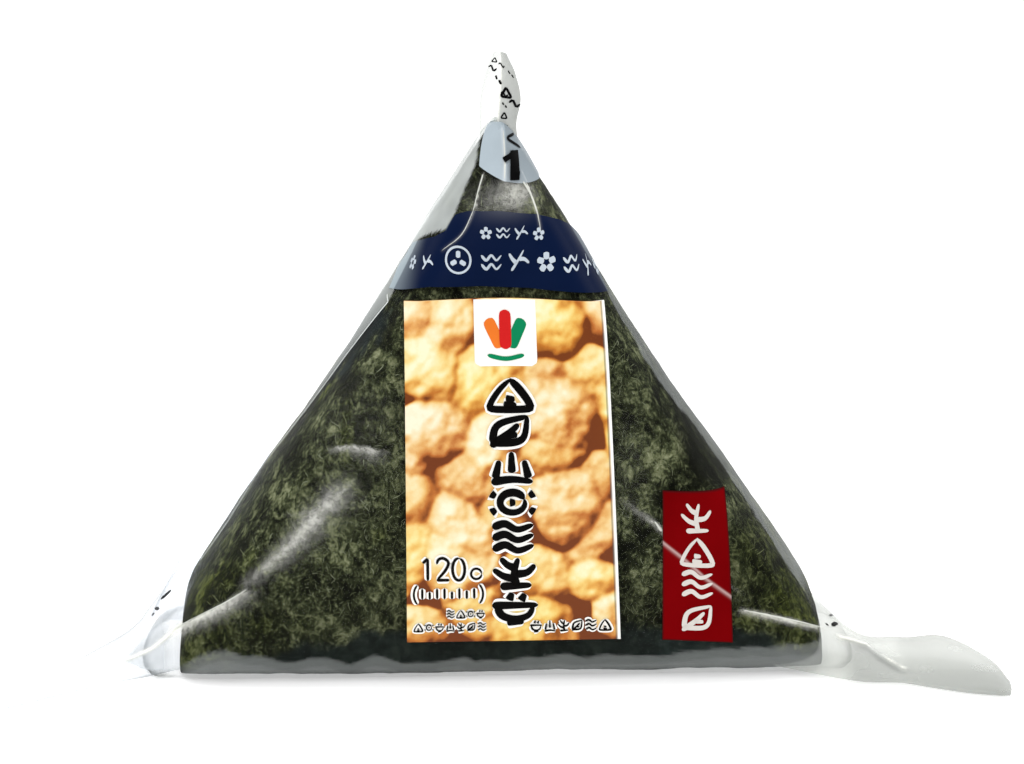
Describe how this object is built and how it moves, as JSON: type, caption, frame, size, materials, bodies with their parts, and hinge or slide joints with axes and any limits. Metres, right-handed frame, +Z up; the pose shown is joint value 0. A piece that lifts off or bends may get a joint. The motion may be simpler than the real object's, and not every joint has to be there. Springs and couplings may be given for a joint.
{
  "type": "wrapped rice ball",
  "caption": "Triangular rice ball in a dark seaweed sheet, sealed in a clear film wrapper with flared corner ears, a curled pull tab, a picture label and a small red label on the front.",
  "frame": {"origin": "middle of the flat base that the pack stands on", "axes": "+X to the right along the base, +Y from the printed front to the back, +Z up to the apex"},
  "size_m": [0.1407, 0.0465, 0.0876],
  "materials": {
    "seaweed_in_film": "dark green seaweed under clear glossy film",
    "clear_film": "thin clear film with sharp highlights",
    "film_print": "ink printed on clear film",
    "front_label": "semi-gloss printed sticker",
    "red_label": "semi-gloss printed sticker"
  },
  "bodies": {
    "root": {"film_pack": "seaweed_in_film", "front_label": "front_label", "red_label": "red_label"}
  },
  "joints": []
}
